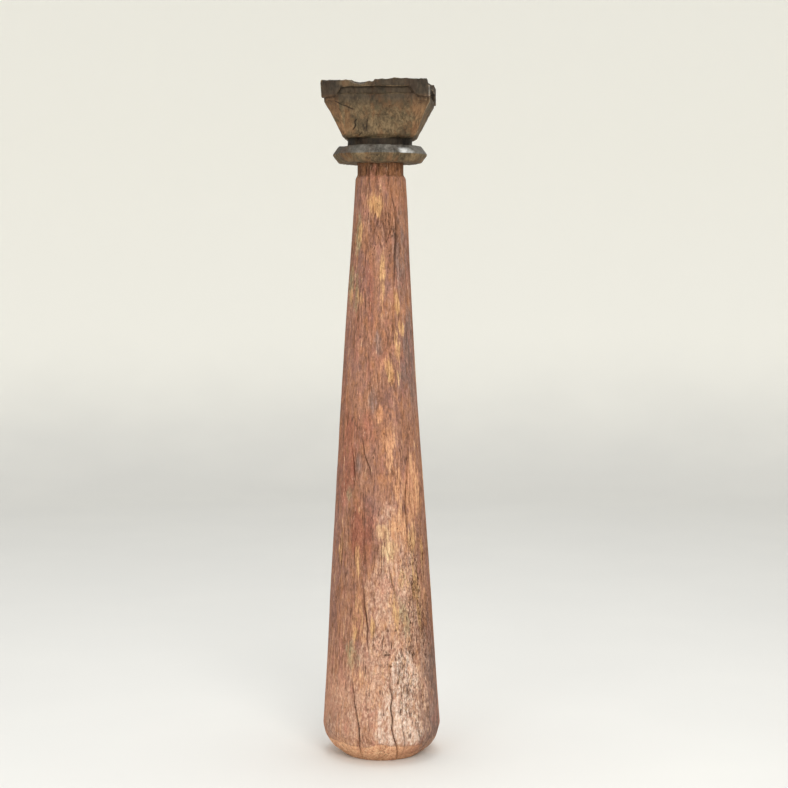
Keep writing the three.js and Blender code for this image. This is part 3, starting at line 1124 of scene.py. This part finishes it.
    def _weather(self, plain: np.ndarray, masks: dict[ShaftMark, np.ndarray]) -> None:
        """Paint the painted shade in the neck and under the capital, the painted highlight over the lower
        half, and the bare foot brightened by painted bounce light.

        Args:
            plain: The points of the plain shaft.
            masks: The masks by stain, changed in place.
        """
        heights = plain[..., 2]
        # Painted shade: the neck darkened in full, and the top of the shaft below the capital partly.
        neck = rise(heights, self.shoulder[0] - 0.004, self.ledge[0] + 0.004)
        masks[ShaftMark.NECK_SHADE] = np.maximum(neck, self.under_capital_shade * rise(heights, *self.under_capital_shade_heights))
        # Painted highlight: the lower half lightened, less so round the shaded bearing.
        patchy = 0.8 + 0.3 * self.noise.at(plain + 1.7, (7, 7, 5))
        lit = 0.35 + 0.65 * rise(np.abs(self.bearings - self.shaded_bearing), 14, 34)
        masks[ShaftMark.PAINTED_HIGHLIGHT] = rise(heights, *self.painted_highlight_heights) * patchy * lit[None, :]
        # The foot below its worn upper edge: its own colour, brightened as painted bounce light.
        worn_edge = heights + 0.005 * self.noise.at(plain + 2.9, (22, 22, 1))
        foot = rise(worn_edge, self.foot_edge[0] + 0.003, self.foot_edge[0] - 0.003)
        masks[ShaftMark.FOOT_AND_BOUNCE_LIGHT] = foot
        for stain in (ShaftMark.PALE, ShaftMark.BLEACHED, ShaftMark.PAINTED_HIGHLIGHT):
            masks[stain] *= 1 - foot

    def _surface(self) -> tuple[np.ndarray, dict[ShaftMark, np.ndarray]]:
        """Work out the carved surface and its masks.

        Returns:
            The points, rows by columns, and the masks by stain.
        """
        angle = np.radians(self.bearings)
        ring = np.stack([np.sin(angle), -np.cos(angle)], axis=-1)
        heights = np.repeat(self.heights[:, None], self.columns, axis=1)
        plain = np.concatenate([ring[None] * self.radii[:, None, None], heights[..., None]], axis=-1)
        masks = self._patch_masks(plain)
        relief = self._relief(plain, masks)
        self._weather(plain, masks)
        across = ring[None] * (self.radii[:, None] + relief)[..., None]
        points = np.concatenate([across, heights[..., None]], axis=-1)
        share = heights / self.top
        bend = np.sin(math.pi * share**self.bow_rise)
        points[..., 0] += -self.lean * share - self.bow * bend**2
        return points, masks

    def _mesh(self, points: np.ndarray, masks: Mapping[ShaftMark, np.ndarray]) -> bpy.types.Mesh:
        """Close the surface with flat ends and make it a mesh.

        Args:
            points: The surface, rows by columns.
            masks: Its masks by stain.

        Returns:
            The finished mesh.
        """
        rows = len(self.heights)
        number = np.arange(rows * self.columns).reshape(rows, self.columns)
        ahead = np.roll(number, -1, axis=1)
        quads = np.stack([number[:-1], ahead[:-1], ahead[1:], number[1:]], axis=-1).reshape(-1, 4)
        foot, head = rows * self.columns, rows * self.columns + 1
        ends = [(b, a, foot) for a, b in zip(number[0], ahead[0])]
        ends += [(a, b, head) for a, b in zip(number[-1], ahead[-1])]
        centres = [points[0].mean(axis=0), points[-1].mean(axis=0)]
        mesh = bpy.data.meshes.new("shaft_wood")
        corners = np.concatenate([points.reshape(-1, 3), centres])
        mesh.from_pydata(corners.tolist(), [], quads.tolist() + [tuple(map(int, end)) for end in ends])
        smooth = np.arange(len(mesh.polygons)) < len(quads)
        mesh.polygons.foreach_set("use_smooth", smooth)
        pairs = np.empty(len(mesh.edges) * 2, dtype=np.int32)
        mesh.edges.foreach_get("vertices", pairs)
        pair_rows = pairs.reshape(-1, 2) // self.columns
        rims = (pair_rows == pair_rows[:, :1]).all(axis=1) & np.isin(pair_rows[:, 0], (0, rows - 1))
        mesh.edges.foreach_set("use_edge_sharp", rims)
        paint_masks(mesh, {stain: np.append(values.ravel(), (0, 0)) for stain, values in masks.items()})
        return mesh

    def build(self) -> bpy.types.Object:
        """Build and dress the shaft.

        Returns:
            The shaft, in place of its plain solid.
        """
        made = new_object("weathered_shaft", self._mesh(*self._surface()), self.wood.material())
        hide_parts("shaft")
        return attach(made, "root")


class Side(Enum):
    """A face of the capital's bell, by its turn from the front in degrees."""

    FRONT = 0
    RIGHT = 90
    BACK = 180
    LEFT = 270


@dataclass(frozen=True)
class FaceCrack:
    """One crack on a face of the bell, through stops of distance to the right and height."""

    side: Side
    stops: tuple[tuple[float, float], ...]
    width: float = 0.0042
    depth: float = 0.003


BELL_CRACKS = (
    FaceCrack(Side.FRONT, ((-0.061, 1.984), (-0.063, 1.970), (-0.069, 1.955)), 0.0062, 0.004),
    FaceCrack(Side.FRONT, ((-0.048, 1.944), (-0.056, 1.936), (-0.065, 1.924)), 0.0062, 0.004),
    FaceCrack(Side.FRONT, ((-0.027, 1.982), (-0.031, 1.952)), 0.0050, 0.003),
    FaceCrack(Side.FRONT, ((0.063, 2.009), (0.073, 1.995), (0.085, 1.979)), 0.0046, 0.0022),
    FaceCrack(Side.FRONT, ((-0.002, 1.998), (0.020, 1.995), (0.041, 1.999)), 0.0042, 0.0020),
    FaceCrack(Side.FRONT, ((-0.125, 2.038), (-0.098, 2.026), (-0.069, 2.014)), 0.0055, 0.003),
    FaceCrack(Side.RIGHT, ((0.030, 1.946), (0.036, 1.990), (0.031, 2.044))),
    FaceCrack(Side.BACK, ((-0.040, 1.944), (-0.046, 1.995), (-0.040, 2.050))),
    FaceCrack(Side.BACK, ((0.055, 1.960), (0.060, 2.020)), 0.004, 0.003),
    FaceCrack(Side.LEFT, ((-0.020, 1.950), (-0.012, 2.000), (-0.018, 2.036))),
)


@dataclass
class FineSurface:
    """The points of a fine mesh, the ways they face and the two ends of every edge."""

    points: np.ndarray
    normals: np.ndarray
    pairs: np.ndarray

    @classmethod
    def read(cls, mesh: bpy.types.Mesh) -> "FineSurface":
        """Read a mesh.

        Args:
            mesh: The mesh to read.

        Returns:
            Its surface.
        """
        points, normals = np.empty((2, len(mesh.vertices) * 3))
        pairs = np.empty(len(mesh.edges) * 2, dtype=np.int64)
        mesh.vertices.foreach_get("co", points)
        mesh.vertices.foreach_get("normal", normals)
        mesh.edges.foreach_get("vertices", pairs)
        return cls(points.reshape(-1, 3), normals.reshape(-1, 3), pairs.reshape(-1, 2))

    def smoothed(self, passes: int) -> np.ndarray:
        """Pull every point towards its neighbours.

        Args:
            passes: How many times to pull.

        Returns:
            The smoothed points.
        """
        points, count = self.points, len(self.points)
        both = np.concatenate([self.pairs, self.pairs[:, ::-1]])
        degree = np.maximum(np.bincount(both[:, 0], minlength=count), 1)[:, None]
        for _ in range(passes):
            sums = [np.bincount(both[:, 0], points[both[:, 1], axis], count) for axis in range(3)]
            points = 0.4 * points + 0.6 * np.stack(sums, axis=-1) / degree
        return points

    def bulge(self, passes: int) -> np.ndarray:
        """How far each point stands out from the surface smoothed a number of times."""
        return np.einsum("ij,ij->i", self.points - self.smoothed(passes), self.normals)


@dataclass
class Capital:
    """The dark carved block on top: a bevelled round collar, a square bell and a slab with ears."""

    voxel: float = 0.0025
    centre_x: float = -0.004
    collar_arris: float = 1.8845
    collar_top: float = 1.910
    bell_base: tuple[float, float, float] = (1.943, 0.115, 0.010)
    bell_shoulder: tuple[float, float, float] = (2.040, 0.161, 0.045)
    bell_twist: float = 3.5
    groove: tuple[float, float] = (2.060, 2.081)
    soot_heights: tuple[float, float] = (1.985, 2.090)
    # Bearings of the pale chipped spot and its painted highlight on the collar's upper bevel.
    chip_bearings: tuple[float, float, float, float] = (24, 33, 34, 60)
    broken_edge: tuple[float, float] = (-0.065, 0.065)
    rim_drop: float = 0.002
    full_depth: float = 0.004
    ripples: tuple[Ripple, ...] = (
        Ripple(0.0014, 0.0, (15, 15, 12)),
        Ripple(0.0008, 4.4, (85, 85, 14)),
        Ripple(0.0005, 6.1, (130, 130, 120)),
    )
    seed: int = 23
    wood: CapitalWood = field(default_factory=CapitalWood)

    def __post_init__(self) -> None:
        """Start the noise that wears the block."""
        self.noise = SmoothNoise(self.seed)

    def _fine_mesh(self) -> bpy.types.Mesh:
        """Turn the plain solid into an even fine mesh.

        Returns:
            The fine mesh, with softened edges.
        """
        block = bpy.data.objects.new("block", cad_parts["capital"].data.copy())
        bpy.context.scene.collection.objects.link(block)
        remesh = block.modifiers.new("even", "REMESH")
        remesh.mode = "VOXEL"
        remesh.voxel_size = self.voxel
        remesh.use_smooth_shade = True
        bpy.context.view_layer.update()
        shown = block.evaluated_get(bpy.context.evaluated_depsgraph_get())
        mesh = bpy.data.meshes.new_from_object(shown)
        mesh.name = "capital_wood"
        bpy.data.objects.remove(block)
        return mesh

    def _bell_sizes(self, heights: np.ndarray) -> tuple[np.ndarray, np.ndarray, np.ndarray]:
        """Half width, corner cut and turn of the bell at each height.

        Args:
            heights: Heights above the floor.

        Returns:
            The half widths, the corner cuts and the turns in radians.
        """
        levels = (self.bell_base[0], self.bell_shoulder[0])
        half = np.interp(heights, levels, (self.bell_base[1], self.bell_shoulder[1]))
        cut = np.interp(heights, levels, (self.bell_base[2], self.bell_shoulder[2]))
        turn = np.radians(np.interp(heights, levels, (self.bell_twist, 0)))
        return half, cut, turn

    def _crack_masks(self, points: np.ndarray, normals: np.ndarray) -> tuple[np.ndarray, np.ndarray]:
        """Depth and openness of the bell's cracks.

        Args:
            points: The points, about the capital's own axis.
            normals: The directions that they face.

        Returns:
            How deep and how open each point is.
        """
        depth, openness = np.zeros((2, len(points)))
        sway = 0.002 * self.noise.at(points, (90, 90, 90))
        for crack in BELL_CRACKS:
            turn = math.radians(crack.side.value)
            outward = np.array((math.sin(turn), -math.cos(turn)))
            right = np.array((math.cos(turn), math.sin(turn)))
            flat = np.stack([points[:, :2] @ right, points[:, 2]], axis=-1)
            flat[:, 0] += sway
            on_side = rise(normals[:, :2] @ outward, 0.4, 0.7)
            stops = np.array(crack.stops)
            for start, end in zip(stops[:-1], stops[1:]):
                run = end - start
                along = np.clip((flat - start) @ run / (run @ run), 0, 1)
                away = np.linalg.norm(flat - start - along[:, None] * run, axis=1)
                cut = np.clip(1.2 - away / (crack.width / 2), 0, 1) * on_side
                depth = np.maximum(depth, crack.depth * cut)
                openness = np.maximum(openness, cut * min(1.0, crack.depth / self.full_depth))
        return depth, openness

    def _worn(self, surface: FineSurface, own: np.ndarray, depth: np.ndarray) -> np.ndarray:
        """Soften the edges, roughen the faces, open the cracks and break the rim.

        Args:
            surface: The unworn surface.
            own: Its points about the capital's own axis.
            depth: How deep the cracks are at each point.

        Returns:
            The worn points.
        """
        wear = rise(self.noise.at(own + 2.3, (30, 30, 30)), -0.5, 0.7)
        out = rise(np.abs(own[:, :2]).max(axis=1), 0.13, 0.16)
        rim = rise(own[:, 2], self.groove[1] + 0.004, self.groove[1] + 0.012) * out
        softness = (0.35 + 0.65 * wear) * (1 - 0.85 * rim)
        worn = surface.points + (surface.smoothed(7) - surface.points) * softness[:, None]
        relief = self.noise.layered(own, self.ripples)
        worn = worn + surface.normals * (relief - depth)[:, None]
        ragged = np.abs(self.noise.at(own + 9.5, (26, 26, 26)))
        ragged += np.abs(self.noise.at(own, (100, 100, 100)))
        worn[:, 2] -= self.rim_drop * rim * ragged
        return worn

    def _corner(self, own: np.ndarray) -> np.ndarray:
        """How far each point is outside the flat of the bell's corner chamfers.

        Args:
            own: The points about the capital's own axis.

        Returns:
            Signed distances, below zero on the square faces.
        """
        half, cut, turn = self._bell_sizes(own[:, 2])
        across = own[:, 0] * np.cos(turn) + own[:, 1] * np.sin(turn)
        inward = own[:, 1] * np.cos(turn) - own[:, 0] * np.sin(turn)
        return np.abs(across) + np.abs(inward) - (2 * half - cut)

    def _masks(self, surface: FineSurface, own: np.ndarray) -> dict[CapitalMark, np.ndarray]:
        """Paint the dirt, the dusty faces with their painted sheen, the worn places with their painted
        highlights, and the painted shade in the hollows.

        Args:
            surface: The unworn surface.
            own: Its points about the capital's own axis.

        Returns:
            The masks by the kind of wear.
        """
        right, back, height = own.T
        low, high = self.groove
        bulge = surface.bulge(24)
        bearing = np.degrees(np.arctan2(right, -back))
        reach = np.abs(own[:, :2])
        bell = rise(height, self.bell_base[0] - 0.016, self.bell_base[0] - 0.006)
        lip = rise(height, self.bell_base[0] + 0.008, self.bell_base[0] + 0.002) * bell
        bell_face = bell * rise(height, low + 0.002, low - 0.006)
        # Painted highlight: the front part of the bell's right face, lit from the side.
        lit_flank = rise(surface.normals[:, 0], 0.7, 0.85) * bell_face * rise(back, -0.05, -0.10)
        slab = rise(height, low - 0.010, low)
        between_ears = slab * rise(reach.min(axis=1), 0.110, 0.095)
        middle, half_length = self.broken_edge
        broken = rise(np.abs(right - middle), half_length, half_length - 0.03)
        broken = broken * rise(height, high, high + 0.004) * rise(back, -0.08, -0.12)
        # Painted highlight: thin bright lines along the groove's two edges.
        lines = sum(rise(np.abs(height - level - 0.001), 0.002, 0.0005) for level in self.groove)
        # Painted highlight down the slab's front right corner edge.
        arris_highlight = rise(right - back, 0.323, 0.327) * rise(height, 2.040, 2.052)
        on_top = rise(surface.normals[:, 2], 0.7, 0.95) * rise(height, 2.07, 2.09)
        bevel = rise(height, self.collar_arris - 0.002, self.collar_arris + 0.003) * (1 - bell)
        necking = rise(height, self.collar_top - 0.002, self.collar_top + 0.003) * (1 - bell)
        up_bevel = (height - self.collar_arris) / (self.collar_top - self.collar_arris)
        # A pale chipped spot on the upper bevel at the front right, painted as a highlight too.
        start, full, fading, end = self.chip_bearings
        chip = rise(bearing, start, full) * rise(bearing, end, fading) * rise(up_bevel, 1.05, 0.2)
        # Dusty film and painted sky sheen on the collar's upper bevel, less on its left.
        settled_and_sheen = bevel * (1 - necking) * (0.6 + 0.4 * rise(bearing, -60, 0))
        # Worn edges where the surface stands out and on the bell's lip, with the painted highlights of the
        # groove lines, the front right corner edge and the right face.
        rubbed_and_lit = rise(bulge, 0.0010, 0.0038) + 0.3 * lines + 0.45 * lip + 0.5 * arris_highlight + 0.9 * lit_flank
        # Painted shade: darker in the hollows (less on the slab), in the neck and on the left of the
        # collar's bevel.
        shaded = rise(-bulge, 0.001, 0.004) * (1 - 0.5 * slab)
        shaded = shaded + necking + 0.42 * bevel * rise(bearing, -10, -50)
        return {
            CapitalMark.FACET: rise(self._corner(own), -0.008, -0.001) * bell_face,
            CapitalMark.SOOT: rise(height, *self.soot_heights) * (1 - 0.25 * between_ears - 0.4 * broken),
            CapitalMark.DUST_AND_SHEEN: settled_and_sheen + 0.35 * on_top * rise(reach.max(axis=1), 0.15, 0.12),
            CapitalMark.EDGE: np.clip(rubbed_and_lit, 0, 1.2),
            CapitalMark.CAVITY_SHADE: np.clip(shaded, 0, 1),
            # The chipped spot with its painted highlight, and part of the corner edge's painted highlight.
            CapitalMark.CHIP_AND_HIGHLIGHT: np.maximum(chip * bevel, 0.4 * arris_highlight),
        }

    def _dress(self, mesh: bpy.types.Mesh) -> None:
        """Age the fine mesh and paint its masks.

        Args:
            mesh: The fine mesh, changed in place.
        """
        surface = FineSurface.read(mesh)
        own = surface.points - (self.centre_x, 0, 0)
        depth, openness = self._crack_masks(own, surface.normals)
        masks = self._masks(surface, own) | {CapitalMark.CRACK: openness}
        mesh.vertices.foreach_set("co", self._worn(surface, own, depth).ravel())
        mesh.update()
        paint_masks(mesh, masks)

    def build(self) -> bpy.types.Object:
        """Build and dress the capital.

        Returns:
            The capital, in place of its plain solid.
        """
        mesh = self._fine_mesh()
        self._dress(mesh)
        made = new_object("carved_capital", mesh, self.wood.material())
        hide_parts("capital")
        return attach(made, "root")


@dataclass(frozen=True)
class SoftLight:
    """One large soft lamp, by its place, its width and its strength."""

    name: str
    place: tuple[float, float, float]
    width: float
    watts: float
    colour: tuple[float, float, float] = (1.0, 1.0, 1.0)


@dataclass
class Studio:
    """A seamless pale room with soft lamps and the camera."""

    floor_radius: float = 6.0
    cove_radius: float = 2.5
    wall_height: float = 4.4
    aim: tuple[float, float, float] = (0.0, 0.0, 1.05)
    view_turn: float = 5.0
    view_distance: float = 5.40
    view_height: float = 1.547
    view_pitch: float = 4.313
    view_yaw: float = 0.416
    lens: float = 78.65
    sky: tuple[float, float, float] = (0.98, 0.99, 1.0)
    sky_strength: float = 0.77
    paint: StudioPaint = field(default_factory=StudioPaint)
    lamps: tuple[SoftLight, ...] = (
        SoftLight("key", (1.6, -4.4, 3.2), 2.4, 130, (1.0, 0.98, 0.95)),
        SoftLight("fill", (-1.9, -4.4, 2.2), 2.6, 45, (0.96, 0.98, 1.0)),
        SoftLight("top", (0.0, 0.8, 5.4), 3.0, 80),
    )

    def room(self) -> bpy.types.Object:
        """Build the floor, which curves up into a wall all round.

        Returns:
            The floor and wall as one staged object.
        """
        steps = np.linspace(0, math.pi / 2, 13)
        curve = [
            (self.floor_radius + self.cove_radius * math.sin(s), self.cove_radius * (1 - math.cos(s)))
            for s in steps
        ]
        profile = [(radius, 0.0) for radius in (1.0, 3.0)] + curve
        profile.append((self.floor_radius + self.cove_radius, self.wall_height))
        sides = 96
        turns = np.linspace(0, 2 * math.pi, sides, endpoint=False)
        points = [(r * math.cos(t), r * math.sin(t), z) for r, z in profile for t in turns]
        starts = [row * sides for row in range(len(profile))]
        steps_round = [(a, (a + 1) % sides) for a in range(sides)]
        faces = [
            (low + b, low + a, high + a, high + b)
            for low, high in zip(starts, starts[1:])
            for a, b in steps_round
        ]
        faces.append(tuple(range(sides)))
        mesh = bpy.data.meshes.new("studio_room")
        mesh.from_pydata(points, [], faces)
        mesh.shade_smooth()
        made = new_object("studio_room", mesh, self.paint.material())
        return made

    def light(self) -> None:
        """Hang the lamps and set the sky."""
        for lamp in self.lamps:
            data = bpy.data.lights.new(lamp.name, "AREA")
            data.shape = "DISK"
            data.size = lamp.width
            data.energy = lamp.watts
            data.color = lamp.colour
            made = bpy.data.objects.new(lamp.name, data)
            made.location = lamp.place
            towards = Vector(self.aim) - Vector(lamp.place)
            made.rotation_euler = towards.to_track_quat("-Z", "Y").to_euler()
            bpy.context.scene.collection.objects.link(made)
        world = bpy.data.worlds.new("sky")
        world.use_nodes = True
        background = world.node_tree.nodes["Background"]
        background.inputs["Color"].default_value = (*self.sky, 1.0)
        background.inputs["Strength"].default_value = self.sky_strength
        bpy.context.scene.world = world
        bpy.context.scene.view_settings.view_transform = "Standard"

    def camera(self) -> None:
        """Stand the camera in front of the pillar, a little to its right."""
        data = bpy.data.cameras.new("camera")
        data.lens = self.lens
        data.clip_end = 60.0
        made = bpy.data.objects.new("camera", data)
        turn = math.radians(self.view_turn)
        made.location = (
            self.view_distance * math.sin(turn),
            -self.view_distance * math.cos(turn),
            self.view_height,
        )
        made.rotation_euler = (
            math.radians(90 - self.view_pitch),
            0.0,
            math.radians(self.view_turn - self.view_yaw),
        )
        bpy.context.scene.collection.objects.link(made)
        bpy.context.scene.camera = made


def main() -> None:
    """Build the studio and the pillar, and report each piece."""
    logging.basicConfig(level=logging.INFO, format="%(name)s: %(message)s")
    studio = Studio()
    studio.room()
    studio.light()
    studio.camera()
    for part in (Shaft(), Capital()):
        piece = part.build()
        triangles = sum(len(face.vertices) - 2 for face in piece.data.polygons)
        LOG.info("%s: %d triangles", piece.name, triangles)


if __name__ == "__main__":
    main()
